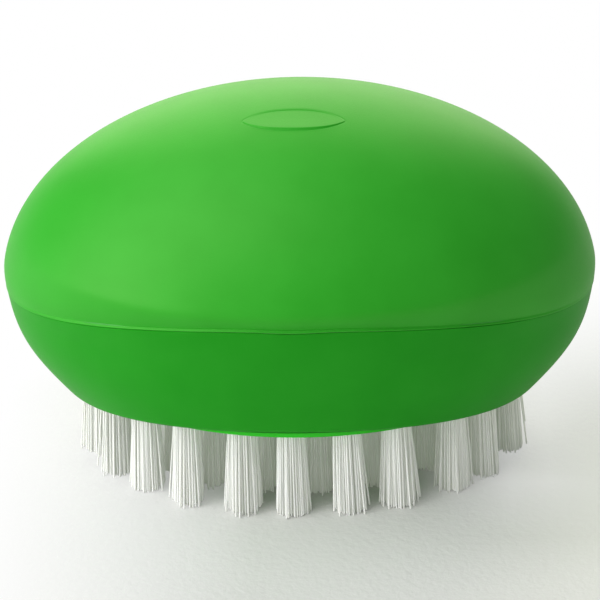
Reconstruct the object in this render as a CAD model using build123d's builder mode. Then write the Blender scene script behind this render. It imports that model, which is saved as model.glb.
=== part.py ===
# A palm vegetable brush: an oval dome with a rubber skin, a tapering skirt below it, and a plate that
# holds 51 tufts of nylon in three oval rings and a centre row. Millimetres, +Z up, X along the length.
# The origin is under the middle of the brush, on the surface that the bristle tips stand on.

from build123d import *
import os
from math import sqrt

# Outside of the handle: the dome is the upper half of an ellipsoid, widest at the ends of the parting line
half_length = 45.0
half_depth = 33.4
dome_rise = 29.1
skirt_height = 15.4
rim_end_height = 12.8

# The skirt passes through five level ovals, from just below the rim to clear above the dome. Their
# heights are shares of skirt_height above the ends of the rim.
skirt_level_shares = (-0.02, 0.47, 0.99, 1.67, 3.0)
skirt_length_shares = (0.810, 0.942, 0.991, 1.022, 1.06)
skirt_depth_shares = (0.769, 0.828, 0.889, 0.955, 1.03)

# The parting line and the rim both rise from the ends of the body to the middle of its long sides
seam_rise = 7.1
seam_depth_share = 0.93
seam_gap = 0.15
rim_rise = 2.9
rim_length_share = 0.82
rim_depth_share = 0.79
skin_proud = 0.1

# Rubber skin, with the bare level oval pad near the top, sunk at its back and proud at its front
skin_wall = 1.6
pad_half_length = 7.4
pad_half_depth = 2.6
pad_forward = 5.8
pad_drop = 0.5

# Rigid upper shell and its ribs
bond_gap = 0.05
dome_wall = 1.8
rib_thickness = 1.4
rib_height = 4.0
rib_pitch_length = 24.0
rib_pitch_depth = 22.0
rib_root = 0.4

# Rigid lower shell: wall, thick shoulder, the tongue that laps inside the upper shell, and the plate's seat
skirt_wall = 1.6
shoulder_height = 3.0
tongue_rise = 3.0
tongue_wall = 1.3
lap_gap = 0.15
seat_thickness = 2.0
seat_width = 2.4
seat_root = 0.4
seat_gap = 0.05

# Bristle plate and its edge, which shows below the front and back of the rim
plate_lift = 2.0
plate_thickness = 8.4
plate_gap = 0.2
edge_inset = 0.2
edge_height = 1.6
edge_gap = 0.12

# Tuft holes: three oval rings, with the tufts nearly evenly spaced along each ring, and a row in the middle.
# The inner rings and the row are shares of the outer ring. The widths of a tuft and of its hole are
# shares of the plate's mean radius.
outer_count = 22
middle_count = 16
inner_count = 10
row_count = 3
middle_length_share = 0.756
middle_depth_share = 0.70
inner_length_share = 0.513
inner_depth_share = 0.288
row_pitch_share = 0.21
hole_diameter_share = 0.143
hole_depth = 6.6
ring_end_margin = 1.6
ring_side_margin = 0.7
# Drift of each tuft along its ring, in spaces, from the middle of the front and round towards +X. The
# middle and inner rings start about half a space round.
outer_drift_shares = (
    -0.12, -0.05, -0.06, 0.18, -0.05, 0, 0, 0.04, -0.05, 0.06, 0,
    -0.06, 0.05, 0, -0.04, 0.05, 0, 0, -0.05, -0.18, -0.20, -0.06,
)
middle_drift_shares = (
    0.35, 0.46, 0.65, 0.58, 0.5, 0.5, 0.45, 0.5, 0.5, 0.55, 0.5, 0.5, 0.5, 0.4, 0.26, 0.24,
)
inner_drift_shares = (0.35,)

# One tuft: its folded root in the hole and nine strands that spread towards the tips
root_clearance = 0.1
fold_gap = 0.1
strands_around = 8
strand_root_width_share = 0.028
strand_tip_width_share = 0.034
strand_root_radius_share = 0.0484
strand_tip_radius_share = 0.08
strand_bury = 1.0
tuft_lean_share = 0.0238
tip_trim = 0.5

# Flat wire anchor across each hole, whose ends bite into the plate
anchor_bite = 0.2
anchor_height = 1.5
anchor_thickness = 0.4
anchor_depth = 4.4

overrun = 3.0

seam_end_height = rim_end_height + skirt_height
rim_half_length = rim_length_share * half_length
rim_half_depth = rim_depth_share * half_depth
shell_inset = skin_wall + bond_gap
rib_inset = shell_inset + dome_wall
tongue_inset = rib_inset + lap_gap
plate_bottom = rim_end_height + plate_lift
plate_top = plate_bottom + plate_thickness
plate_half_length = rim_half_length - skirt_wall - plate_gap
plate_half_depth = rim_half_depth - skirt_wall - plate_gap
plate_radius = sqrt(plate_half_length * plate_half_depth)
hole_diameter = hole_diameter_share * plate_radius
ring_half_length = plate_half_length - ring_end_margin - hole_diameter / 2
ring_half_depth = plate_half_depth - ring_side_margin - hole_diameter / 2
row_pitch = row_pitch_share * ring_half_length
strand_root_width = strand_root_width_share * plate_radius
strand_tip_width = strand_tip_width_share * plate_radius
strand_root_radius = strand_root_radius_share * plate_radius
strand_tip_radius = strand_tip_radius_share * plate_radius
tuft_lean = tuft_lean_share * plate_radius
anchor_length = hole_diameter + 2 * anchor_bite
anchor_middle = plate_bottom + anchor_depth + anchor_height / 2


def dome(inset):
    """The ellipsoid of the dome, with every half axis shortened by inset."""
    axes = (half_length - inset, half_depth - inset, dome_rise - inset)
    with BuildPart(Plane.XY.offset(seam_end_height)) as ellipsoid:
        Sphere(1)
        scale(by=axes, about=(0, 0, seam_end_height))
    return ellipsoid.part


def skirt(inset):
    """The tapering oval column of the skirt, with every oval drawn in by inset."""
    with BuildPart() as column:
        for level, length, depth in zip(skirt_level_shares, skirt_length_shares, skirt_depth_shares):
            with BuildSketch(Plane.XY.offset(rim_end_height + level * skirt_height)):
                Ellipse(length * half_length - inset, depth * half_depth - inset)
        loft()
    return column.part


def below_arch(end_height, rise, at_depth):
    """All that lies under a surface that is level along X and rises by rise at at_depth from the middle."""
    radius = (at_depth**2 + rise**2) / (2 * rise)
    reach = half_depth + overrun
    side_height = end_height + radius - sqrt(radius**2 - reach**2)
    bottom = seam_end_height - dome_rise - overrun
    with BuildPart() as block:
        with BuildSketch(Plane.YZ):
            with BuildLine():
                ThreePointArc((-reach, side_height), (0, end_height), (reach, side_height))
                Polyline((reach, side_height), (reach, bottom), (-reach, bottom), (-reach, side_height))
            make_face()
        extrude(amount=half_length + overrun, both=True)
    return block.part


def below_seam(offset):
    """All that lies under the parting surface, moved up by offset."""
    return below_arch(seam_end_height + offset, seam_rise, seam_depth_share * half_depth)


def finish(piece, name):
    """Label a piece and write it."""
    piece.part.label = name
    export_step(piece.part, f"parts/{name}.step")


os.makedirs("parts", exist_ok=True)

# Rubber skin: the dome, drawn in by the skirt's column where it comes down to the parting line
skin_outside = dome(0)
skin_edge = skirt(-skin_proud)
skin_inside = dome(skin_wall)
under_skin = below_seam(seam_gap / 2)

with BuildPart() as pad:
    with BuildSketch(Plane.XY.offset(seam_end_height)):
        with Locations((0, -pad_forward)):
            Ellipse(pad_half_length, pad_half_depth)
    extrude(amount=dome_rise - pad_drop)

with BuildPart() as above_pad:
    add(pad.part.faces().sort_by(Axis.Z)[-1])
    extrude(amount=pad_drop + overrun)

with BuildPart() as upper_cover:
    add(skin_outside)
    add(pad.part)
    add(skin_edge, mode=Mode.INTERSECT)
    add(skin_inside, mode=Mode.SUBTRACT)
    add(under_skin, mode=Mode.SUBTRACT)
    add(above_pad.part, mode=Mode.SUBTRACT)
finish(upper_cover, "upper_cover")

# Rigid upper shell, with two long ribs and three cross ribs under its roof
shell_outside = dome(shell_inset)
shell_inside = dome(rib_inset)
rib_outside = dome(rib_inset - rib_root)
rib_inside = dome(rib_inset + rib_height)
under_ribs = below_seam(tongue_rise + lap_gap)

with BuildPart() as ribs:
    with BuildSketch(Plane.XY.offset(seam_end_height)):
        with GridLocations(0, rib_pitch_depth, 1, 2):
            Rectangle(2 * half_length, rib_thickness)
        with GridLocations(rib_pitch_length, 0, 3, 1):
            Rectangle(rib_thickness, 2 * half_depth)
    extrude(amount=dome_rise)
    add(rib_outside, mode=Mode.INTERSECT)
    add(rib_inside, mode=Mode.SUBTRACT)
    add(under_ribs, mode=Mode.SUBTRACT)

with BuildPart() as upper_shell:
    add(shell_outside)
    add(shell_inside, mode=Mode.SUBTRACT)
    add(under_skin, mode=Mode.SUBTRACT)
    add(ribs.part)
finish(upper_shell, "upper_shell")

# Rigid lower shell: the skirt that shows, with its tongue above and the plate's seat inside
skirt_outside = skirt(0)
skirt_inside = skirt(skirt_wall)
seat_outside = skirt(skirt_wall - seat_root)
under_seam = below_seam(-seam_gap / 2)
under_tongue = below_seam(tongue_rise)
under_shoulder = below_seam(-shoulder_height)
tongue_outside = dome(tongue_inset)
tongue_inside = dome(tongue_inset + tongue_wall)
under_rim = below_arch(rim_end_height, rim_rise, rim_half_depth)

with BuildPart() as tongue:
    add(tongue_outside)
    add(under_tongue, mode=Mode.INTERSECT)
    add(under_shoulder, mode=Mode.SUBTRACT)

with BuildPart() as shell_hollow:
    add(skirt_inside)
    add(under_shoulder, mode=Mode.INTERSECT)

with BuildPart() as tongue_hollow:
    add(tongue_inside)
    add(skirt_inside, mode=Mode.INTERSECT)

with BuildPart() as seat:
    with BuildSketch(Plane.XY.offset(plate_top + seat_gap)):
        Ellipse(half_length, half_depth)
        Ellipse(plate_half_length - seat_width, plate_half_depth - seat_width, mode=Mode.SUBTRACT)
    extrude(amount=seat_thickness)
    add(seat_outside, mode=Mode.INTERSECT)

with BuildPart() as lower_shell:
    add(skirt_outside)
    add(under_seam, mode=Mode.INTERSECT)
    add(tongue.part)
    add(shell_hollow.part, mode=Mode.SUBTRACT)
    add(tongue_hollow.part, mode=Mode.SUBTRACT)
    add(under_rim, mode=Mode.SUBTRACT)
    add(seat.part)
finish(lower_shell, "lower_shell")

# Places of the tufts: points at equal steps along each oval ring, starting at the middle of the front
def ring_spots(count, length_share, depth_share, drift_shares):
    """Places and outward turns of the tufts of one ring, as Locations on the tip plane."""
    ring = Edge.make_ellipse(length_share * ring_half_length, depth_share * ring_half_depth)
    spots = []
    for index in range(count):
        turn = ((index + drift_shares[index % len(drift_shares)]) / count - 1 / 4) % 1
        spot = ring @ turn
        outward = (ring % turn).rotate(Axis.Z, -90)
        angle = Vector(1, 0).get_signed_angle(outward, Vector(0, 0, 1))
        spots.append(Location((spot.X, spot.Y, 0), (0, 0, angle)))
    return spots


outer_spots = ring_spots(outer_count, 1, 1, outer_drift_shares)
middle_spots = ring_spots(middle_count, middle_length_share, middle_depth_share, middle_drift_shares)
inner_spots = ring_spots(inner_count, inner_length_share, inner_depth_share, inner_drift_shares)
row_spots = [
    Location(((index - (row_count - 1) / 2) * row_pitch, 0, 0)) for index in range(row_count)
]
spots_of = {"outer": outer_spots, "middle": middle_spots, "inner": inner_spots, "centre": row_spots}
all_places = [spot.position for spots in spots_of.values() for spot in spots]
hole_places = [(place.X, place.Y) for place in all_places]
anchor_places = [(place.X, place.Y, anchor_middle) for place in all_places]

# Anchors: one flat wire across each hole
with BuildPart() as anchors:
    with Locations(*anchor_places):
        Box(anchor_length, anchor_thickness, anchor_height)
finish(anchors, "anchors")

# Bristle plate: a thick oval with blind holes, and a thin wider edge that follows the rim from below
under_edge = below_arch(rim_end_height - edge_gap, rim_rise, rim_half_depth)

with BuildPart() as bristle_plate:
    with BuildSketch(Plane.XY.offset(plate_bottom)):
        Ellipse(rim_half_length - skirt_wall, rim_half_depth - edge_inset)
    extrude(amount=edge_height)
    add(under_edge, mode=Mode.INTERSECT)
    with BuildSketch(Plane.XY.offset(plate_bottom)):
        Ellipse(plate_half_length, plate_half_depth)
    extrude(amount=plate_thickness)
    with BuildSketch(Plane.XY.offset(plate_bottom)):
        with Locations(*hole_places):
            Circle(hole_diameter / 2)
    extrude(amount=hole_depth, mode=Mode.SUBTRACT)
    add(anchors.part, mode=Mode.SUBTRACT)
finish(bristle_plate, "bristle_plate")

# Strands: square all the way, spreading and leaning out as they come down
def strand(turn, root_reach, tip_reach, lean):
    """A square strand from inside the root to below the tip plane, on the side that turn names."""
    root_place = Vector(root_reach, 0).rotate(Axis.Z, turn)
    tip_place = Vector(tip_reach, 0).rotate(Axis.Z, turn) + Vector(lean, 0)
    with BuildPart() as square_strand:
        with BuildSketch(Plane.XY.offset(plate_bottom + strand_bury)):
            with Locations(root_place):
                Rectangle(strand_root_width, strand_root_width, rotation=turn)
        with BuildSketch(Plane.XY.offset(-tip_trim)):
            with Locations(tip_place):
                Rectangle(strand_tip_width, strand_tip_width, rotation=turn)
        loft(ruled=True)
    return square_strand.part


def plain_tuft(lean):
    """A tuft on the Z axis whose tips lean towards +X, cut flat where the brush stands."""
    turns = [360 * index / strands_around for index in range(strands_around)]
    strands = [strand(turn, strand_root_radius, strand_tip_radius, lean) for turn in turns]
    strands.append(strand(0, 0, 0, lean))
    with BuildPart() as tuft:
        with BuildSketch(Plane.XY.offset(plate_bottom)):
            Circle(hole_diameter / 2 - root_clearance)
        extrude(amount=hole_depth - fold_gap)
        add(strands)
        split(bisect_by=Plane.XY, keep=Keep.TOP)
    return tuft.part


leaning_tuft = plain_tuft(tuft_lean)
upright_tuft = plain_tuft(0)

# Tufts: one piece each, slotted where its anchor crosses it
for ring_name, spots in spots_of.items():
    pattern = upright_tuft if ring_name == "centre" else leaning_tuft
    for number, spot in enumerate(spots, start=1):
        with BuildPart() as tuft:
            with Locations(spot):
                add(pattern)
            with Locations((spot.position.X, spot.position.Y, anchor_middle)):
                Box(anchor_length, anchor_thickness, anchor_height, mode=Mode.SUBTRACT)
        finish(tuft, f"{ring_name}_tuft_{number:02d}")
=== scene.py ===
"""A palm vegetable brush in Blender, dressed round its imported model.

Every length is in metres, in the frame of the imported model: +Z up, X along the brush, and the
origin under its middle on the surface that the bristle tips stand on.
"""

import logging
import math
import random
from dataclasses import dataclass, field
from enum import Enum

import bmesh
import bpy
import numpy as np
from mathutils import Matrix, Vector

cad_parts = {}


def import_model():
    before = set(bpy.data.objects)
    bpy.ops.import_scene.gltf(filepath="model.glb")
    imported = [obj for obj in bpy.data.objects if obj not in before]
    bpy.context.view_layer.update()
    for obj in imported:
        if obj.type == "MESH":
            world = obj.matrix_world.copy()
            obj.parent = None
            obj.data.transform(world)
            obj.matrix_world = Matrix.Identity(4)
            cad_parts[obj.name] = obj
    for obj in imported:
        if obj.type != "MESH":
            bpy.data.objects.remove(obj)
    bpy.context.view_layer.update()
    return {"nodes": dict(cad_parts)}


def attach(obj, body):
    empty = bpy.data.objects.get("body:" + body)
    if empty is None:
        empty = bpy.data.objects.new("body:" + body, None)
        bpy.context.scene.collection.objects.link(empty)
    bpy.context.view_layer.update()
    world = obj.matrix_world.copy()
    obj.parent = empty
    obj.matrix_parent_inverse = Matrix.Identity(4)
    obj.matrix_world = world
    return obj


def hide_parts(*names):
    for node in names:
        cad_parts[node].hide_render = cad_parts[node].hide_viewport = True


LOG = logging.getLogger("vegetable_brush")
MM = 0.001
TAU = 2 * math.pi
GOLDEN_TURN = math.pi * (3 - math.sqrt(5))
BODY = "root"
TUFT_MARK = "_tuft_"
# The value that a noise varies about
NOISE_MIDDLE = 0.5
# How often a ring is moved until it lies on a line whose height depends on the ring's own place
SETTLING_ROUNDS = 12

Colour = tuple[float, float, float]
Point = tuple[float, float, float]
Steps = tuple[tuple[float, ...], ...]
# Where a fade starts, and the length that it takes
Fade = tuple[float, float]
# Root, tip and sideways bow of one filament
Line = tuple[np.ndarray, np.ndarray, np.ndarray]
WHITE: Colour = (1.0, 1.0, 1.0)


def millimetres(*steps: tuple[float, ...]) -> Steps:
    """Groups of lengths that are given in millimetres."""
    return tuple(tuple(length * MM for length in step) for step in steps)


class Slot(Enum):
    """Names of material slots."""

    SOFT_SKIN = "soft_skin"
    HIDDEN_PLASTIC = "hidden_plastic"
    SKIRT_PLASTIC = "skirt_plastic"
    PLATE_PLASTIC = "plate_plastic"
    BRISTLE_NYLON = "bristle_nylon"
    ANCHOR_WIRE = "anchor_wire"


# Materials


class Value:
    """One output of a node, which adds Math nodes when it is used in an expression."""

    def __init__(self, sheet: "NodeSheet", socket: bpy.types.NodeSocket | None) -> None:
        """Wraps one output socket of a node sheet, or none for an output node."""
        self.sheet = sheet
        self.socket = socket

    def _with(self, operation: str, first: "Value | float", second: "Value | float") -> "Value":
        """The result of one Math node."""
        return self.sheet.node("ShaderNodeMath", {"operation": operation}, {0: first, 1: second})

    def __add__(self, other: "Value | float") -> "Value":
        """The sum."""
        return self._with("ADD", self, other)

    def __sub__(self, other: "Value | float") -> "Value":
        """The difference."""
        return self._with("SUBTRACT", self, other)

    def __rsub__(self, other: "Value | float") -> "Value":
        """The difference, from a plain number."""
        return self._with("SUBTRACT", other, self)

    def __mul__(self, other: "Value | float") -> "Value":
        """The product."""
        return self._with("MULTIPLY", self, other)

    __radd__ = __add__
    __rmul__ = __mul__

    def clamped(self) -> "Value":
        """The value held between 0 and 1."""
        return self.sheet.node("ShaderNodeClamp", {}, {"Value": self})

    def fading(self, start: float, reach: float) -> "Value":
        """A rise from 0 to 1 as the value goes from start to start + reach."""
        return ((self - start) * (1 / reach)).clamped()


class NodeSheet:
    """The nodes of a material or a world while they are being laid out."""

    def __init__(self, owner: "bpy.types.Material | bpy.types.World", output: str) -> None:
        """Empties the owner's node tree.

        Args:
            owner: the material or the world.
            output: the type of its output node.
        """
        owner.use_nodes = True
        self.tree = owner.node_tree
        self.tree.nodes.clear()
        self.output = output

    def node(
        self,
        kind: str,
        settings: dict[str, object] | None = None,
        inputs: dict[str | int, object] | None = None,
        output: str | int = 0,
    ) -> Value:
        """Adds a node.

        Args:
            kind: the node's type.
            settings: what is set on the node itself, first. "stops" gives a ramp's two stops.
            inputs: values or links of its sockets, by name or number.
            output: the socket that is handed back.

        Returns:
            The chosen output, which is empty for an output node.
        """
        made = self.tree.nodes.new(kind)
        for key, setting in (settings or {}).items():
            if key == "stops":
                self._set_stops(made.color_ramp, setting)
            else:
                setattr(made, key, setting)
        for key, given in (inputs or {}).items():
            if isinstance(given, Value):
                self.tree.links.new(given.socket, made.inputs[key])
            else:
                made.inputs[key].default_value = given
        return Value(self, made.outputs[output] if len(made.outputs) else None)

    @staticmethod
    def _set_stops(ramp: bpy.types.ColorRamp, stops: list[tuple[float, Colour]]) -> None:
        """Sets a ramp's two stops.

        Args:
            ramp: the ramp.
            stops: the place and the colour of each.
        """
        for element, (place, colour) in zip(ramp.elements, stops):
            element.position = place
            element.color = (*colour, 1.0)

    def seen_by(self, ray: str) -> Value:
        """1 for rays of one kind, and 0 for all others."""
        return self.node("ShaderNodeLightPath", output=ray)

    def either(self, share: Value, one: Value, other: Value) -> Value:
        """A shader that is one where share is 0, and the other where it is 1."""
        return self.node("ShaderNodeMixShader", {}, {0: share, 1: one, 2: other})

    def end_with(self, shader: Value) -> None:
        """Adds the output node, with the last shader as its surface."""
        self.node(self.output, {}, {"Surface": shader})


class FinishSheet(NodeSheet):
    """A material's nodes while they are being laid out."""

    def __init__(self, name: str) -> None:
        """Starts an empty material."""
        self.material = bpy.data.materials.new(name)
        super().__init__(self.material, "ShaderNodeOutputMaterial")

    def place(self) -> Value:
        """The point of the surface, in the row frame."""
        return self.node("ShaderNodeTexCoord", output="Object")

    def noise(self, size: float, detail: float, stretch: Point = (1.0, 1.0, 1.0)) -> Value:
        """A noise whose features are about size across.

        Args:
            size: width of one feature.
            detail: octaves of finer noise.
            stretch: how much the pattern is squeezed along each axis, so less draws it out.

        Returns:
            A value about NOISE_MIDDLE, between 0 and 1.
        """
        squeezed = self.node(
            "ShaderNodeMapping", {}, {"Vector": self.place(), "Scale": stretch}
        )
        return self.node(
            "ShaderNodeTexNoise", {}, {"Vector": squeezed, "Scale": 1 / size, "Detail": detail}
        )

    def shade(
        self, amount: Value, places: tuple[float, float], first: Colour, last: Colour
    ) -> Value:
        """A colour that goes from first to last as amount goes from one place to the other."""
        stops = list(zip(places, (first, last)))
        return self.node("ShaderNodeValToRGB", {"stops": stops}, {"Fac": amount})

    def bump(self, amount: Value, depth: float) -> Value:
        """A normal tilted by the slopes of amount, as if it were depth high."""
        return self.node("ShaderNodeBump", {}, {"Distance": depth, "Height": amount})

    def principled(self, inputs: dict[str | int, object]) -> bpy.types.Material:
        """The finished material, ended with a Principled shader of these values and links."""
        self.end_with(self.node("ShaderNodeBsdfPrincipled", {}, inputs))
        return self.material


@dataclass(frozen=True)
class MouldedFinish:
    """Moulded green: a faintly mottled colour with a fine grain."""

    name: str
    slot: Slot
    deep: Colour
    bright: Colour
    roughness: float
    roughness_spread: float
    grain_size: float
    grain_depth: float
    specular: float = 0.5
    specular_tint: Colour = WHITE
    sheen: float = 0.0
    sheen_tint: Colour = WHITE
    sheen_roughness: float = 0.5
    mottle_size: float = 9.0 * MM
    mottle_detail: float = 3.0
    mottle_places: tuple[float, float] = (0.3, 0.7)
    grain_detail: float = 2.0

    def material(self) -> bpy.types.Material:
        """Lays out the material.

        Returns:
            The finished material.
        """
        sheet = FinishSheet(self.name)
        mottle = sheet.noise(self.mottle_size, self.mottle_detail)
        grain = sheet.noise(self.grain_size, self.grain_detail)
        return sheet.principled(
            {
                "Base Color": sheet.shade(mottle, self.mottle_places, self.deep, self.bright),
                "Roughness": self.roughness + (grain - NOISE_MIDDLE) * self.roughness_spread,
                "Normal": sheet.bump(grain, self.grain_depth),
                "Specular IOR Level": self.specular,
                "Specular Tint": (*self.specular_tint, 1.0),
                "Sheen Weight": self.sheen,
                "Sheen Tint": (*self.sheen_tint, 1.0),
                "Sheen Roughness": self.sheen_roughness,
            }
        )


@dataclass(frozen=True)
class NylonFinish:
    """Whitish nylon filament: brighter and duller along it, scuffed, letting light through, and
    lit by a faint painted glow.
    """

    name: str = "nylon_filament"
    slot: Slot = Slot.BRISTLE_NYLON
    dull: Colour = (0.80, 0.80, 0.785)
    clear: Colour = (0.85, 0.85, 0.84)
    strand_width: float = 0.5 * MM
    strand_detail: float = 1.0
    strand_stretch: Point = (1.0, 1.0, 0.03)
    strand_places: tuple[float, float] = (0.35, 0.62)
    roughness: float = 0.32
    roughness_spread: float = 0.2
    scuff_width: float = 0.1 * MM
    scuff_detail: float = 2.0
    scuff_stretch: Point = (1.0, 1.0, 0.2)
    scuff_depth: float = 0.004 * MM
    # The light that spreads inside a filament, and a weak greenish painted glow: an emission that
    # stands in for light bounced into the tufts
    glow: float = 0.85
    glow_reach: float = 0.16 * MM
    glow_colour: Colour = (1.0, 1.0, 0.95)
    painted_glow_tint: Colour = (0.88, 1.0, 0.78)
    painted_glow: float = 0.055

    def material(self) -> bpy.types.Material:
        """Lays out the material.

        Returns:
            The finished material.
        """
        sheet = FinishSheet(self.name)
        strands = sheet.noise(self.strand_width, self.strand_detail, self.strand_stretch)
        scuff = sheet.noise(self.scuff_width, self.scuff_detail, self.scuff_stretch)
        return sheet.principled(
            {
                "Base Color": sheet.shade(strands, self.strand_places, self.dull, self.clear),
                "Roughness": self.roughness + (scuff - NOISE_MIDDLE) * self.roughness_spread,
                "Normal": sheet.bump(scuff, self.scuff_depth),
                "Subsurface Weight": self.glow,
                "Subsurface Radius": self.glow_colour,
                "Subsurface Scale": self.glow_reach,
                # Painted glow: a faint greenish emission that lightens the filaments as bounced
                # light would
                "Emission Color": (*self.painted_glow_tint, 1.0),
                "Emission Strength": self.painted_glow,
            }
        )


@dataclass(frozen=True)
class WireFinish:
    """Flat drawn steel wire, with its drawing lines along X."""

    name: str = "flat_wire"
    slot: Slot = Slot.ANCHOR_WIRE
    dark: Colour = (0.42, 0.42, 0.43)
    light: Colour = (0.66, 0.66, 0.67)
    line_width: float = 0.08 * MM
    line_detail: float = 2.0
    line_stretch: Point = (0.05, 1.0, 1.0)
    line_places: tuple[float, float] = (0.3, 0.7)
    line_depth: float = 0.003 * MM
    roughness: float = 0.25
    roughness_spread: float = 0.2

    def material(self) -> bpy.types.Material:
        """Lays out the material.

        Returns:
            The finished material.
        """
        sheet = FinishSheet(self.name)
        lines = sheet.noise(self.line_width, self.line_detail, self.line_stretch)
        return sheet.principled(
            {
                "Base Color": sheet.shade(lines, self.line_places, self.dark, self.light),
                "Metallic": 1.0,
                "Roughness": self.roughness + lines * self.roughness_spread,
                "Normal": sheet.bump(lines, self.line_depth),
            }
        )


SOFT_SKIN = MouldedFinish(
    name="soft_touch_rubber",
    slot=Slot.SOFT_SKIN,
    deep=(0.014, 0.322, 0.011),
    bright=(0.019, 0.346, 0.015),
    roughness=0.50,
    roughness_spread=0.10,
    grain_size=0.22 * MM,
    grain_depth=0.012 * MM,
    specular_tint=(0.7, 1.0, 0.45),
    sheen=0.01,
    sheen_tint=(1.0, 1.0, 0.62),
    sheen_roughness=0.45,
)
SKIRT_PLASTIC = MouldedFinish(
    name="satin_skirt_plastic",
    slot=Slot.SKIRT_PLASTIC,
    deep=(0.009, 0.272, 0.007),
    bright=(0.013, 0.292, 0.010),
    roughness=0.48,
    roughness_spread=0.08,
    grain_size=0.30 * MM,
    grain_depth=0.008 * MM,
    specular=0.25,
    specular_tint=(0.3, 1.0, 0.25),
)
PLATE_PLASTIC = MouldedFinish(
    name="bristle_plate_plastic",
    slot=Slot.PLATE_PLASTIC,
    deep=(0.030, 0.500, 0.022),
    bright=(0.036, 0.525, 0.027),
    roughness=0.42,
    roughness_spread=0.08,
    grain_size=0.30 * MM,
    grain_depth=0.006 * MM,
    specular=0.3,
    specular_tint=(0.3, 1.0, 0.25),
)
HIDDEN_PLASTIC = MouldedFinish(
    name="inner_shell_plastic",
    slot=Slot.HIDDEN_PLASTIC,
    deep=(0.014, 0.290, 0.012),
    bright=(0.018, 0.315, 0.015),
    roughness=0.42,
    roughness_spread=0.10,
    grain_size=0.40 * MM,
    grain_depth=0.006 * MM,
)
NYLON = NylonFinish()
WIRE = WireFinish()


@dataclass(frozen=True)
class PaperFinish:
    """Pale grained sheet that turns plain white away from the brush, for camera rays alone.

    It whitens behind the brush, to its left, and all round it further out. To its right it is only
    partly whitened: painted light that lifts the brush's shadow there.
    Each fade is given by the distance from the middle where it starts and the length it takes.
    """

    name: str = "pale_floor"
    tone: Colour = (0.67, 0.67, 0.65)
    roughness: float = 0.9
    grain_size: float = 1.1 * MM
    grain_detail: float = 4.0
    grain_depth: float = 0.10 * MM
    # The fade behind, and how far its line is slanted, nearer on the right
    far: Fade = (0.0, 84 * MM)
    far_slant: float = 0.3
    left: Fade = (6 * MM, 42 * MM)
    # The painted light on the right, which lifts the brush's shadow there, and its strength; how
    # much of it is lost again further out; and where it starts from in front of the brush
    right: Fade = (17 * MM, 15 * MM)
    right_painted_light: float = 0.40
    right_end: Fade = (38 * MM, 15 * MM)
    right_painted_light_fall: float = 0.24
    right_front: Fade = (-30 * MM, 15 * MM)
    # From where to where it turns all white
    around: float = 85 * MM
    around_end: float = 130 * MM

    def material(self) -> bpy.types.Material:
        """Lays out the material.

        Returns:
            The finished material.
        """
        sheet = FinishSheet(self.name)
        grain = sheet.noise(self.grain_size, self.grain_detail)
        paper = sheet.node(
            "ShaderNodeBsdfPrincipled",
            {},
            {
                "Base Color": (*self.tone, 1.0),
                "Roughness": self.roughness,
                "Normal": sheet.bump(grain, self.grain_depth),
            },
        )
        white = sheet.node("ShaderNodeEmission", {}, {"Color": (*WHITE, 1.0), "Strength": 1.0})
        fade = self.fade(sheet) * sheet.seen_by("Is Camera Ray")
        sheet.end_with(sheet.either(fade, paper, white))
        return sheet.material

    def fade(self, sheet: FinishSheet) -> Value:
        """How white the floor is.

        Args:
            sheet: the floor's material.

        Returns:
            0 for bare paper to 1 for plain white.
        """
        along = sheet.node("ShaderNodeSeparateXYZ", {}, {0: sheet.place()}, output="X")
        across = sheet.node("ShaderNodeSeparateXYZ", {}, {0: sheet.place()}, output="Y")
        behind = (across + self.far_slant * along).fading(*self.far)
        left = (-1 * along).fading(*self.left)
        # Painted light: part-whitens the floor to the right of the brush, lifting its shadow there
        right = along.fading(*self.right) * self.right_painted_light
        right = right - along.fading(*self.right_end) * self.right_painted_light_fall
        right = right * across.fading(*self.right_front)
        ring = self.around_end**2 - self.around**2
        around = (along * along + across * across).fading(self.around**2, ring)
        return (behind + left + right + around).clamped()


# Modelling


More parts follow.
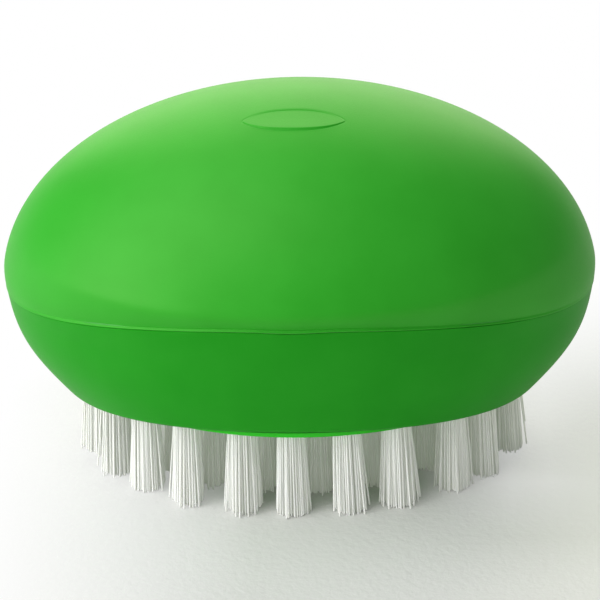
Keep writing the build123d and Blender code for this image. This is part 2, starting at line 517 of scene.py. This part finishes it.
class Bench:
    """Steps that several pieces share, each done with Blender's own operators."""

    # Points nearer than this are one point
    WELD = 0.002 * MM
    # In degrees, the bend above which an edge of a shell is drawn sharp
    SHELL_ANGLE = 50.0

    @staticmethod
    def put_down() -> None:
        """Leaves edit mode and deselects everything."""
        if bpy.context.object and bpy.context.object.mode == "EDIT":
            bpy.ops.object.mode_set(mode="OBJECT")
        bpy.ops.object.select_all(action="DESELECT")

    @staticmethod
    def pick_up(made: bpy.types.Object) -> None:
        """Selects one piece alone and makes it active.

        Args:
            made: the piece.
        """
        Bench.put_down()
        made.select_set(True)
        bpy.context.view_layer.objects.active = made

    @staticmethod
    def smooth(made: bpy.types.Object, angle: float) -> None:
        """Shades a piece smooth.

        Args:
            made: the piece.
            angle: the bend in degrees above which an edge stays sharp.
        """
        Bench.pick_up(made)
        bpy.ops.object.shade_smooth_by_angle(angle=math.radians(angle))
        made.select_set(False)

    @staticmethod
    def shell(name: str, rings: list[np.ndarray]) -> bpy.types.Object:
        """Models a closed shell from a circle, extruded upwards once for each further ring.

        Args:
            name: the new object's name.
            rings: the points of each ring, from +X onwards. The first and the last are each drawn
                together to a point, or are the same ring, so merging doubles closes the shell.

        Returns:
            The shell, facing outwards and shaded smooth.
        """
        segments = len(rings[0])
        Bench.put_down()
        bpy.ops.mesh.primitive_circle_add(vertices=segments, radius=1.0)
        made = bpy.context.object
        made.name = made.data.name = name
        bpy.ops.object.mode_set(mode="EDIT")
        bpy.ops.mesh.select_all(action="SELECT")
        for _ in rings[1:]:
            bpy.ops.mesh.extrude_region_move(TRANSFORM_OT_translate={"value": (0.0, 0.0, 1.0)})
        bpy.ops.object.mode_set(mode="OBJECT")
        points = np.zeros(len(made.data.vertices) * 3)
        made.data.vertices.foreach_get("co", points)
        points = points.reshape(-1, 3)
        level = np.rint(points[:, 2]).astype(int)
        share = np.arctan2(points[:, 1], points[:, 0]) / TAU
        turn = np.rint(share * segments).astype(int) % segments
        made.data.vertices.foreach_set("co", np.array(rings)[level, turn].ravel())
        made.data.update()
        Bench.pick_up(made)
        bpy.ops.object.mode_set(mode="EDIT")
        bpy.ops.mesh.select_all(action="SELECT")
        bpy.ops.mesh.remove_doubles(threshold=Bench.WELD)
        bpy.ops.mesh.normals_make_consistent(inside=False)
        bpy.ops.object.mode_set(mode="OBJECT")
        Bench.smooth(made, Bench.SHELL_ANGLE)
        return made


def hand_over(
    made: bpy.types.Object, slot: Slot, material: bpy.types.Material, *nodes: str
) -> None:
    """Gives a piece its material, its body and the CAD nodes it stands for.

    Args:
        made: the piece.
        slot: not used.
        material: its material.
        nodes: the CAD nodes that it replaces.
    """
    made.data.materials.clear()
    made.data.materials.append(material)
    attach(made, BODY)
    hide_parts(*nodes)
    faces = len(made.data.polygons)
    LOG.info("%s: %d faces, stands for %s", made.name, faces, ", ".join(nodes))


@dataclass
class BodyForm:
    """The outside of the handle: level ovals whose half axes change with height.

    The dome is half an ellipsoid on the long middle line at seam_end, drawn in by the skirt's
    column, whose levels are given one by one.
    """

    segments: int = 256
    half_length: float = 45.0 * MM
    half_depth: float = 33.4 * MM
    dome_rise: float = 29.1 * MM
    # The parting line: its height at the ends, and how far it has risen at seam_depth
    seam_end: float = 28.05 * MM
    seam_rise: float = 7.1 * MM
    seam_depth: float = 31.062 * MM
    # The rim: its height at the ends, and how far it has risen at rim_depth
    rim_end: float = 12.8 * MM
    rim_rise: float = 2.9 * MM
    rim_depth: float = 26.386 * MM
    # The skirt's column: height, half length and half depth at each of its levels
    skirt_levels: Steps = millimetres(
        (12.492, 36.45, 25.685), (20.038, 42.39, 27.655), (28.046, 44.595, 29.693),
        (38.518, 45.99, 31.897), (59.0, 47.7, 34.402)
    )
    # How far the skin stands out of the skirt's column, and how softly the dome runs into it
    proud: float = 0.04 * MM
    roll: float = 0.5 * MM
    fullness: float = 0.10
    # The parting line's short dip, and how its depth fades from the middle to the ends
    dip: float = 0.27 * MM
    dip_reach: float = 4.5 * MM
    line_share: float = 0.25
    line_reach: float = 15.0 * MM

    def turns(self) -> np.ndarray:
        """The turn of each point of a ring about the brush's axis."""
        return np.arange(self.segments) / self.segments * TAU

    def arch(self, depth: np.ndarray, end: float, rise: float, at_depth: float) -> np.ndarray:
        """Height of a surface that curves up across the brush, by rise at at_depth."""
        radius = (at_depth**2 + rise**2) / (2 * rise)
        return end + radius - np.sqrt(radius**2 - depth**2)

    def seam(self, along: np.ndarray, depth: np.ndarray) -> np.ndarray:
        """Height of the parting line, which dips in the middle of a long side."""
        level = self.arch(depth, self.seam_end, self.seam_rise, self.seam_depth)
        return level - self.dip * np.exp(-((along / self.dip_reach) ** 2))

    def rim(self, depth: np.ndarray) -> np.ndarray:
        """Height of the rim at a distance from the long middle plane."""
        return self.arch(depth, self.rim_end, self.rim_rise, self.rim_depth)

    def filled(self, height: np.ndarray, turn: np.ndarray) -> np.ndarray:
        """How much fuller than an oval the skirt's plan is: most at the rim, not at the seam.

        Args:
            height: heights of the points.
            turn: their turns about the brush's axis.

        Returns:
            A factor for each point's distance from the axis.
        """
        down = np.clip((self.seam_end - height) / (self.seam_end - self.rim_end), 0, 1)
        power = 2 + self.fullness * down
        return (np.abs(np.cos(turn)) ** power + np.abs(np.sin(turn)) ** power) ** (-1 / power)

    def line_strength(self, along: np.ndarray) -> np.ndarray:
        """How deep the parting line is, with 1 for the middle of a long side."""
        fading = np.exp(-((along / self.line_reach) ** 2))
        return self.line_share + (1 - self.line_share) * fading

    def skirt_axes(self, height: np.ndarray) -> tuple[np.ndarray, np.ndarray]:
        """Half length and half depth of the skirt's column: a natural cubic spline of its levels.

        Args:
            height: where they are read.

        Returns:
            The half lengths and the half depths.
        """
        levels, *columns = np.array(self.skirt_levels).T
        sizes = np.array(columns)
        steps = np.diff(levels)
        matrix = np.diag([1.0, *(2 * (steps[:-1] + steps[1:])), 1.0])
        matrix += np.diag([*steps[:-1], 0.0], -1) + np.diag([0.0, *steps[1:]], 1)
        turning = np.zeros(sizes.shape)
        turning[:, 1:-1] = 6 * np.diff(np.diff(sizes) / steps)
        bend = np.linalg.solve(matrix, turning.T).T
        span = np.clip(np.searchsorted(levels, height) - 1, 0, len(steps) - 1)
        after = (height - levels[span]) / steps[span]
        before = 1 - after
        curve = (before**3 - before) * bend[:, span] + (after**3 - after) * bend[:, span + 1]
        straight = before * sizes[:, span] + after * sizes[:, span + 1]
        length, depth = straight + curve * steps[span] ** 2 / 6
        return length, depth

    def dome_axes(self, height: np.ndarray, inset: float) -> tuple[np.ndarray, np.ndarray]:
        """Half length and half depth of the dome at a height, drawn in by the skirt's column.

        Args:
            height: where they are read.
            inset: how far inside the skin's outside.

        Returns:
            The half lengths and the half depths.
        """
        rise = (height - self.seam_end) / (self.dome_rise - inset)
        level = np.sqrt(np.clip(1 - rise**2, 0, 1))
        skirt_length, skirt_depth = self.skirt_axes(height)
        shift = self.proud - inset
        length = (self.half_length - inset) * level
        depth = (self.half_depth - inset) * level
        return (
            self.lesser(length, skirt_length + shift, self.roll),
            self.lesser(depth, skirt_depth + shift, self.roll),
        )

    @staticmethod
    def lesser(one: np.ndarray, other: np.ndarray, roll: float) -> np.ndarray:
        """The lesser of two sizes, blended where they differ by less than roll."""
        share = np.clip(0.5 + 0.5 * (other - one) / roll, 0, 1)
        return other * (1 - share) + one * share - roll * share * (1 - share)


@dataclass
class Cover:
    """The rubber skin over the dome, with its fine proud lip and the bare level pad.

    A flat map of the dome spreads its rings from the lip to the pad: a point's distance from the
    middle of the map is its angle from the dome's top.
    """

    form: BodyForm
    wall: float = 1.6 * MM
    gap: float = 0.008 * MM
    pad_length: float = 7.4 * MM
    pad_depth: float = 2.6 * MM
    pad_forward: float = 5.8 * MM
    pad_drop: float = 0.46 * MM
    # How the pad follows the dome: its slope across the brush, and its share of the dome's bend
    pad_slope: float = 0.085
    pad_bend: float = 0.85
    pad_point: float = 0.4
    dome_rings: int = 74
    inner_rings: int = 26
    # How much closer together the rings lie towards the pad
    ring_crowding: float = 1.35
    # Steps of the pad's edge: how far outside its oval, and how far below the dome; and for each
    # the share of the way from there to the pad's level
    edge_steps: Steps = millimetres(
        (0.42, 0.0), (0.26, 0.01), (0.15, 0.03), (0.07, 0.035), (0.02, 0.02), (-0.03, 0.0),
        (-0.09, 0.0), (-0.17, 0.0), (-0.28, 0.0)
    )
    edge_shares: tuple[float, ...] = (0.0, 0.0, 0.0, 0.06, 0.4, 0.8, 0.95, 0.99, 1.0)
    floor_shares: tuple[float, ...] = (0.85, 0.68, 0.5, 0.32, 0.15, 0.0)
    # Steps of the lip: height above the lower edge, and how far it stands out
    lip_steps: Steps = millimetres(
        (0.0, -1.6), (0.0, -0.8), (0.0, -0.2), (0.0, -0.01), (0.02, 0.08), (0.07, 0.13),
        (0.15, 0.13), (0.24, 0.04)
    )
    # Steps of the shallow curl above the lip: height above the lower edge, and how far it stands
    # back from the skin
    curl_steps: Steps = millimetres(
        (0.36, -0.13), (0.48, -0.22), (0.65, -0.21), (0.90, -0.18), (1.25, -0.135),
        (1.70, -0.085), (2.25, -0.04), (2.85, -0.01), (3.40, 0.0)
    )
    # Where the curl has run out towards the ends, and over what length it does
    curl_end: float = 43.0 * MM
    curl_fade: float = 12.0 * MM

    def level_ring(self, lift: float, out: float) -> np.ndarray:
        """A ring that follows the parting line.

        Args:
            lift: height above the lower edge.
            out: how far it stands out of the skin, or inside it where negative.

        Returns:
            Its points.
        """
        turn = self.form.turns()
        along = self.form.half_length * np.cos(turn)
        depth = self.form.seam_depth * np.sin(turn)
        for _ in range(SETTLING_ROUNDS):
            height = self.form.seam(along, depth) + self.gap + lift
            length_axis, depth_axis = self.form.dome_axes(height, 0.0)
            step = out
            if out > 0:
                step = out * self.form.line_strength(along)
            elif lift > 0:
                step = out * np.clip((self.curl_end - np.abs(along)) / self.curl_fade, 0, 1)
            along = (length_axis + step) * np.cos(turn)
            depth = (depth_axis + step) * np.sin(turn)
        return np.stack((along, depth, height), axis=1)

    @staticmethod
    def mapped(x: np.ndarray, y: np.ndarray, angle: np.ndarray) -> np.ndarray:
        """Places on the flat map: at angle from its middle, in the direction of x and y."""
        reach = np.hypot(x, y)
        return np.stack((angle * x / reach, angle * y / reach), axis=1)

    def flat_place(self, points: np.ndarray, inset: float) -> np.ndarray:
        """Where points of the dome lie on its flat map.

        Args:
            points: the points.
            inset: how far they lie below the dome's outside.

        Returns:
            Their places on the map.
        """
        height = points[:, 2]
        length_axis, depth_axis = self.form.dome_axes(height, inset)
        rise = (height - self.form.seam_end) / (self.form.dome_rise - inset)
        return self.mapped(
            points[:, 0] / length_axis, points[:, 1] / depth_axis, np.arccos(rise)
        )

    def dome_points(self, place: np.ndarray, inset: float) -> np.ndarray:
        """The points of the dome at places on its flat map.

        Args:
            place: the places on the map.
            inset: how far below the dome's outside.

        Returns:
            The points.
        """
        angle = np.hypot(place[:, 0], place[:, 1])
        turn = np.arctan2(place[:, 1], place[:, 0])
        height = self.form.seam_end + (self.form.dome_rise - inset) * np.cos(angle)
        length_axis, depth_axis = self.form.dome_axes(height, inset)
        return np.stack((length_axis * np.cos(turn), depth_axis * np.sin(turn), height), axis=1)

    def pad_outline(self, out: float, share: float = 1.0) -> tuple[np.ndarray, np.ndarray]:
        """The pad's slightly pointed oval, seen from above.

        Args:
            out: how far it is widened.
            share: the share that it is then shrunk to.

        Returns:
            Its places along and across the brush.
        """
        turn = self.form.turns()
        narrowing = 1 - self.pad_point * np.cos(turn) ** 4
        return (
            share * (self.pad_length + out) * np.cos(turn),
            share * (self.pad_depth * narrowing + out) * np.sin(turn) - self.pad_forward,
        )

    def pad_place(self, out: float, share: float = 1.0) -> np.ndarray:
        """The pad's outline on the flat map of the dome.

        Args:
            out: how far it is widened.
            share: the share that it is then shrunk to.

        Returns:
            Its places on the map.
        """
        along, depth = self.pad_outline(out, share)
        x = along / self.form.half_length
        y = depth / self.form.half_depth
        return self.mapped(x, y, np.arcsin(np.hypot(x, y)))

    def pad_ring(self, out: float, below: float, raised: float, share: float = 1.0) -> np.ndarray:
        """A ring of the pad or its edge.

        Args:
            out: how far outside the pad's oval.
            below: how far below the dome.
            raised: share of the way from there to the pad's level.
            share: size of the ring as a share of the oval.

        Returns:
            Its points.
        """
        along, depth = self.pad_outline(out, share)
        x = along / self.form.half_length
        y = depth / self.form.half_depth
        dome = self.form.seam_end + self.form.dome_rise * np.sqrt(1 - x**2 - y**2) - below
        bend = self.pad_bend * (1 - np.sqrt(1 - x**2))
        pad = self.form.seam_end + self.form.dome_rise * (1 - bend) - self.pad_drop
        pad = pad + self.pad_slope * (depth + self.pad_forward)
        return np.stack((along, depth, dome * (1 - raised) + pad * raised), axis=1)

    def rings(self) -> list[np.ndarray]:
        """Every ring of the skin.

        Returns:
            The rings, from the middle of its inside, round its lip and up to the pad's middle.
        """
        lip = [self.level_ring(lift, out) for lift, out in self.lip_steps + self.curl_steps]
        middle = self.pad_place(0.0, 0.0)
        start = self.flat_place(lip[0], self.wall)
        shares = np.sin(np.linspace(0, math.pi / 2, self.inner_rings))[:-1]
        inside = [
            self.dome_points(middle * (1 - share) + start * share, self.wall) for share in shares
        ]
        start = self.flat_place(lip[-1], 0.0)
        end = self.pad_place(self.edge_steps[0][0])
        steps = np.linspace(0, 1, self.dome_rings + 1)[1:-1]
        shares = 1 - (1 - steps) ** self.ring_crowding
        outside = [self.dome_points(start * (1 - share) + end * share, 0.0) for share in shares]
        edges = zip(self.edge_steps, self.edge_shares)
        edge = [self.pad_ring(*step, raised) for step, raised in edges]
        floor = [self.pad_ring(*self.edge_steps[-1], 1.0, share) for share in self.floor_shares]
        return inside + lip + outside + edge + floor

    def build(self) -> None:
        """Models the skin and hands it over."""
        made = Bench.shell("soft_cover", self.rings())
        hand_over(made, SOFT_SKIN.slot, SOFT_SKIN.material(), "upper_cover")


@dataclass
class Skirt:
    """The rigid ring below the parting line, with rounded edges at that line and at the rim."""

    form: BodyForm
    wall: float = 1.6 * MM
    gap: float = 0.008 * MM
    side_rings: int = 34
    inner_rings: int = 11
    # Rings this near to the surface take part in the fuller plan, and in the line's fading
    plan_reach: float = 0.8 * MM
    line_reach: float = 0.2 * MM
    # Steps of the top edge: depth below the parting line, and how far inside the surface
    top_steps: Steps = millimetres(
        (0.0, 1.6), (0.0, 0.7), (0.0, 0.15), (0.02, 0.05), (0.06, 0.01), (0.14, 0.0), (0.40, 0.0)
    )
    # Steps of the rim: height above it, and how far inside the surface
    rim_steps: Steps = millimetres(
        (0.60, 0.0), (0.36, 0.01), (0.20, 0.05), (0.09, 0.12), (0.02, 0.22), (0.0, 0.36),
        (0.0, 0.9), (0.03, 1.45), (0.18, 1.6)
    )

    def ring(self, drop: float, inside: float, from_rim: bool) -> np.ndarray:
        """A ring that follows the parting line or the rim.

        Args:
            drop: depth below the parting line, or height above the rim.
            inside: how far inside the surface.
            from_rim: whether it follows the rim.

        Returns:
            Its points.
        """
        turn = self.form.turns()
        along = self.form.half_length * np.cos(turn)
        depth = self.form.rim_depth * np.sin(turn)
        for _ in range(SETTLING_ROUNDS):
            if from_rim:
                height = self.form.rim(depth) + drop
            else:
                height = self.form.seam(along, depth) - self.gap - drop
            length_axis, depth_axis = self.form.skirt_axes(height)
            step = inside
            full = 1.0
            if from_rim and inside < self.plan_reach:
                full = self.form.filled(height, turn)
            elif not from_rim and inside < self.line_reach:
                step = inside * self.form.line_strength(along)
            along = (length_axis * full - step) * np.cos(turn)
            depth = (depth_axis * full - step) * np.sin(turn)
        return np.stack((along, depth, height), axis=1)

    def between(
        self, upper: np.ndarray, lower: np.ndarray, inside: float, count: int
    ) -> list[np.ndarray]:
        """Rings spread evenly down the surface between two rings.

        Args:
            upper: the ring above them.
            lower: the ring below them.
            inside: how far inside the surface they lie, with 0 for the outside.
            count: how many there are.

        Returns:
            The rings, from the upper to the lower.
        """
        turn = self.form.turns()
        rings = []
        for share in np.arange(1, count + 1) / (count + 1):
            height = upper[:, 2] * (1 - share) + lower[:, 2] * share
            length_axis, depth_axis = self.form.skirt_axes(height)
            full = 1.0 if inside else self.form.filled(height, turn)
            along = (length_axis * full - inside) * np.cos(turn)
            depth = (depth_axis * full - inside) * np.sin(turn)
            rings.append(np.stack((along, depth, height), axis=1))
        return rings

    def rings(self) -> list[np.ndarray]:
        """Every ring of the skirt.

        Returns:
            The rings, over its top edge, down its outside, round the rim and up its inside.
        """
        top = [self.ring(drop, inside, False) for drop, inside in self.top_steps]
        rim = [self.ring(drop, inside, True) for drop, inside in self.rim_steps]
        outside = self.between(top[-1], rim[0], 0.0, self.side_rings)
        inside = self.between(rim[-1], top[0], self.wall, self.inner_rings)
        return [*top, *outside, *rim, *inside, top[0]]

    def build(self) -> None:
        """Models the skirt and hands it over."""
        made = Bench.shell("skirt", self.rings())
        hand_over(made, SKIRT_PLASTIC.slot, SKIRT_PLASTIC.material(), "lower_shell")


@dataclass(frozen=True)
class Rod:
    """The modelled filament, from Z = 0 down to Z = -1, ready to be copied."""

    points: np.ndarray
    faces: list[tuple[int, ...]]

    def laid(self, start: np.ndarray, end: np.ndarray, bow: np.ndarray) -> np.ndarray:
        """Its points when it is laid along a line.

        Args:
            start: where its root is.
            end: where its tip is.
            bow: how far its middle is moved off the straight line.

        Returns:
            The points.
        """
        down = -self.points[:, 2:3]
        ring = np.column_stack((self.points[:, :2], np.zeros(len(self.points))))
        # The last factor brings the bow to its full size at the middle
        return start + (end - start) * down + bow * down * (1 - down) * 4 + ring


@dataclass
class Filament:
    """One nylon filament, modelled once: a thin six-sided rod with an inset at its tip."""

    sides: int = 6
    cuts: int = 4
    radius: float = 0.14 * MM
    tip_inset: float = 0.06 * MM
    # A face whose normal points further down than this is the tip
    tip_normal: float = -0.9

    def model(self) -> Rod:
        """Models the rod: a long cylinder, cut across its length and inset at the tip.

        Returns:
            Its points and its faces.
        """
        Bench.put_down()
        middle = 0.5
        bpy.ops.mesh.primitive_cylinder_add(
            vertices=self.sides, radius=self.radius, depth=2 * middle, location=(0.0, 0.0, -middle)
        )
        rod = bpy.context.object
        bpy.ops.object.transform_apply(location=True)
        bpy.ops.object.mode_set(mode="EDIT")
        bpy.ops.mesh.select_mode(type="EDGE")
        bpy.ops.mesh.select_all(action="DESELECT")
        shape = bmesh.from_edit_mesh(rod.data)
        for edge in shape.edges:
            edge.select = abs(edge.verts[0].co.z - edge.verts[1].co.z) > middle
        bmesh.update_edit_mesh(rod.data)
        bpy.ops.mesh.subdivide(number_cuts=self.cuts)
        bpy.ops.mesh.select_mode(type="FACE")
        bpy.ops.mesh.select_all(action="DESELECT")
        shape = bmesh.from_edit_mesh(rod.data)
        for face in shape.faces:
            face.select = face.normal.z < self.tip_normal
        bmesh.update_edit_mesh(rod.data)
        bpy.ops.mesh.inset(thickness=self.tip_inset)
        bpy.ops.object.mode_set(mode="OBJECT")
        points = np.array([tuple(vertex.co) for vertex in rod.data.vertices])
        faces = [tuple(face.vertices) for face in rod.data.polygons]
        bpy.data.objects.remove(rod)
        return Rod(points, faces)


@dataclass
class TuftField:
    """The tufts: each a bundle of filaments that leaves its hole and spreads towards the tips."""

    nodes: dict[str, bpy.types.Object]
    count: int = 205
    seed: int = 41
    root_radius: float = 1.90 * MM
    tip_radius: float = 2.38 * MM
    root_height: float = 16.6 * MM
    # How near a CAD tuft's points lie to its end faces
    end_reach: float = 0.1 * MM
    # Each tuft: its size, how far it slants off its axis, and how evenly its filaments turn
    size_range: tuple[float, float] = (0.95, 1.04)
    slant: float = 0.12 * MM
    turn_spread: float = 0.05
    wander: float = 0.06 * MM
    # The lock that stands off on one side of each tuft: where it starts, and how far it goes
    lock_side: float = 0.62
    lock_start: float = 0.3
    lock_reach: float = 0.5 * MM
    # Stray filaments: 6 in 100, all from the 28 in 100 that lie outside stray_edge
    stray_edge: float = 0.85
    stray_chance: float = 0.06 / 0.28
    stray_reach: float = 0.9 * MM
    stray_range: tuple[float, float] = (0.35, 1.0)
    # The tips: clear of the floor, and unevenly higher by a normal draw that is never below 0
    clearance: float = 0.01 * MM
    uneven: float = 0.30 * MM
    lift_middle: float = 0.10
    lift_spread: float = 0.5
    bow: float = 0.06 * MM
    bow_range: tuple[float, float] = (-0.4, 1.0)
    filament: Filament = field(default_factory=Filament)

    def root_and_tip(self, node: bpy.types.Object) -> tuple[np.ndarray, np.ndarray]:
        """Where a CAD tuft leaves its hole and where it stands, on its axis.

        Args:
            node: the CAD node.

        Returns:
            The places of its root and of its tips, each X and Y.
        """
        points = np.array([tuple(vertex.co) for vertex in node.data.vertices])
        roots = points[points[:, 2] > points[:, 2].max() - self.end_reach]
        tips = points[points[:, 2] < self.end_reach]
        root = (roots.min(axis=0) + roots.max(axis=0)) / 2
        tip = (tips.min(axis=0) + tips.max(axis=0)) / 2
        return root[:2], tip[:2]

    def lines(self, node: bpy.types.Object, draw: random.Random) -> list[Line]:
        """The line of every filament of one tuft.

        Args:
            node: the CAD node that the tuft stands for.
            draw: the source of its unevenness.

        Returns:
            Root, tip and bow of each filament.
        """
        root, tip = self.root_and_tip(node)
        lock_turn = draw.uniform(0, TAU)
        lock = np.array((math.cos(lock_turn), math.sin(lock_turn)))
        size = draw.uniform(*self.size_range)
        slant = np.array((draw.gauss(0, self.slant), draw.gauss(0, self.slant)))
        lines = []
        for index in range(self.count):
            reach = math.sqrt((index + 0.5) / self.count)
            turn = index * GOLDEN_TURN + draw.gauss(0, self.turn_spread)
            out = np.array((math.cos(turn), math.sin(turn)))
            start = root + out * reach * self.root_radius
            end = tip + slant + out * reach * self.tip_radius * size
            end = end + np.array((draw.gauss(0, 1), draw.gauss(0, 1))) * self.wander
            side = float(out @ lock) * reach
            if side > self.lock_side:
                end = end + lock * self.lock_reach * (side - self.lock_start)
            if reach > self.stray_edge and draw.random() < self.stray_chance:
                end = end + out * self.stray_reach * draw.uniform(*self.stray_range)
            lift = max(0.0, draw.gauss(self.lift_middle, self.lift_spread)) * self.uneven
            bow = out * reach * self.bow * draw.uniform(*self.bow_range)
            lines.append(
                (
                    np.array((*start, self.root_height)),
                    np.array((*end, self.clearance + lift)),
                    np.array((*bow, 0.0)),
                )
            )
        return lines

    def tuft(self, name: str, draw: random.Random, rod: Rod) -> bpy.types.Object:
        """Models one tuft from copies of the rod.

        Args:
            name: the CAD node that it stands for.
            draw: the source of its unevenness.
            rod: the modelled filament.

        Returns:
            The tuft.
        """
        points = []
        faces = []
        for line in self.lines(self.nodes[name], draw):
            first = len(rod.points) * len(points)
            points.append(rod.laid(*line))
            faces.extend(tuple(first + corner for corner in face) for face in rod.faces)
        mesh = bpy.data.meshes.new(f"bristles_{name}")
        mesh.from_pydata(np.concatenate(points).tolist(), [], faces)
        made = bpy.data.objects.new(mesh.name, mesh)
        bpy.context.scene.collection.objects.link(made)
        return made

    def build(self) -> None:
        """Models every tuft and hands it over."""
        rod = self.filament.model()
        material = NYLON.material()
        # In degrees: the rod's sides are shaded round, and the edge of its tip stays sharp
        sharp_angle = 70.0
        for index, name in enumerate(sorted(self.nodes)):
            made = self.tuft(name, random.Random(self.seed + index), rod)
            Bench.smooth(made, sharp_angle)
            hand_over(made, NYLON.slot, material, name)


@dataclass
class CarriedNodes:
    """The CAD nodes that are shown as they are, each with a finish of its own."""

    nodes: dict[str, bpy.types.Object]

    def build(self) -> None:
        """Gives each node its material."""
        finishes = {"bristle_plate": PLATE_PLASTIC, "upper_shell": HIDDEN_PLASTIC, "anchors": WIRE}
        for node, finish in finishes.items():
            materials = self.nodes[node].data.materials
            materials.clear()
            materials.append(finish.material())
            LOG.info("%s: carried over with %s", node, finish.name)


# Studio


@dataclass
class Camera:
    """The photograph's camera, aimed at the axis of the brush and turned a little about its own.

    Its angles are in degrees, and its lens and sensor in camera millimetres, as Blender has them.
    """

    azimuth: float = 2.6
    elevation: float = 28.5
    roll: float = -1.48
    distance: float = 450 * MM
    target_height: float = 23.5 * MM
    lens: float = 176.7
    sensor: float = 36.0
    nearest: float = 10 * MM
    farthest: float = 50.0

    def build(self) -> None:
        """Adds the camera and makes it the scene's."""
        turn, lift, tilt = (math.radians(a) for a in (self.azimuth, self.elevation, self.roll))
        forward = Vector(
            (-math.sin(turn) * math.cos(lift), math.cos(turn) * math.cos(lift), -math.sin(lift))
        )
        level = Vector((math.cos(turn), math.sin(turn), 0.0))
        upright = level.cross(forward)
        right = level * math.cos(tilt) + upright * math.sin(tilt)
        up = upright * math.cos(tilt) - level * math.sin(tilt)
        data = bpy.data.cameras.new("photograph_camera")
        data.lens = self.lens
        data.sensor_width = self.sensor
        data.clip_start = self.nearest
        data.clip_end = self.farthest
        made = bpy.data.objects.new("photograph_camera", data)
        bpy.context.scene.collection.objects.link(made)
        place = Vector((0.0, 0.0, self.target_height)) - forward * self.distance
        turned = Matrix((right, up, -forward)).transposed().to_4x4()
        made.matrix_world = Matrix.Translation(place) @ turned
        bpy.context.scene.camera = made


@dataclass(frozen=True)
class Lamp:
    """A square soft light, with its width in metres and its power in watts."""

    name: str
    place: Point
    size: float
    power: float
    colour: Colour = WHITE

    def build(self, aim: Vector) -> None:
        """Adds the lamp.

        Args:
            aim: the point that it is turned to.
        """
        data = bpy.data.lights.new(self.name, "AREA")
        data.size = self.size
        data.energy = self.power
        data.color = self.colour
        made = bpy.data.objects.new(self.name, data)
        bpy.context.scene.collection.objects.link(made)
        made.location = self.place
        turned = (aim - Vector(self.place)).to_track_quat("-Z", "Y")
        made.rotation_euler = turned.to_euler()


@dataclass
class Studio:
    """A pale floor, soft lamps and a white room."""

    floor_size: float = 8.0
    aim_height: float = 30 * MM
    # The room's strength as a light, where a gloss mirrors it, and where the camera sees it
    room_light: float = 0.42
    room_gloss: float = 0.12
    room_seen: float = 1.0
    lamps: tuple[Lamp, ...] = (
        Lamp("key_lamp", (-0.60, -0.25, 1.01), 1.2, 11.3),
        Lamp("left_lamp", (-1.20, -0.40, 0.42), 0.8, 5.0),
        Lamp("low_lamp", (-0.90, -0.60, 0.10), 0.6, 5.0),
        Lamp("back_lamp", (-0.05, 1.20, 0.50), 1.4, 17.0, (0.94, 1.0, 0.66)),
    )

    def build(self) -> None:
        """Adds the floor, the lamps and the room."""
        Bench.put_down()
        bpy.ops.mesh.primitive_plane_add(size=self.floor_size)
        floor = bpy.context.object
        floor.name = "studio_floor"
        floor.data.materials.append(PaperFinish().material())
        for lamp in self.lamps:
            lamp.build(Vector((0.0, 0.0, self.aim_height)))
        self.room()
        bpy.context.scene.view_settings.view_transform = "Standard"

    def room(self) -> None:
        """Makes the world: plain light on the object, dim in its gloss, white for the camera."""
        world = bpy.data.worlds.new("white_room")
        sheet = NodeSheet(world, "ShaderNodeOutputWorld")
        light = self.plain(sheet, self.room_light)
        strengths = {"Is Glossy Ray": self.room_gloss, "Is Camera Ray": self.room_seen}
        for ray, strength in strengths.items():
            light = sheet.either(sheet.seen_by(ray), light, self.plain(sheet, strength))
        sheet.end_with(light)
        bpy.context.scene.world = world

    @staticmethod
    def plain(sheet: NodeSheet, strength: float) -> Value:
        """A white background of a strength."""
        return sheet.node(
            "ShaderNodeBackground", {}, {"Color": (*WHITE, 1.0), "Strength": strength}
        )


def main() -> None:
    """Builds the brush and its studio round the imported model."""
    logging.basicConfig(level=logging.INFO, format="%(message)s")
    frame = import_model()
    form = BodyForm()
    Cover(form).build()
    Skirt(form).build()
    TuftField({name: node for name, node in frame["nodes"].items() if TUFT_MARK in name}).build()
    CarriedNodes(frame["nodes"]).build()
    Studio().build()
    Camera().build()


if __name__ == "__main__":
    main()
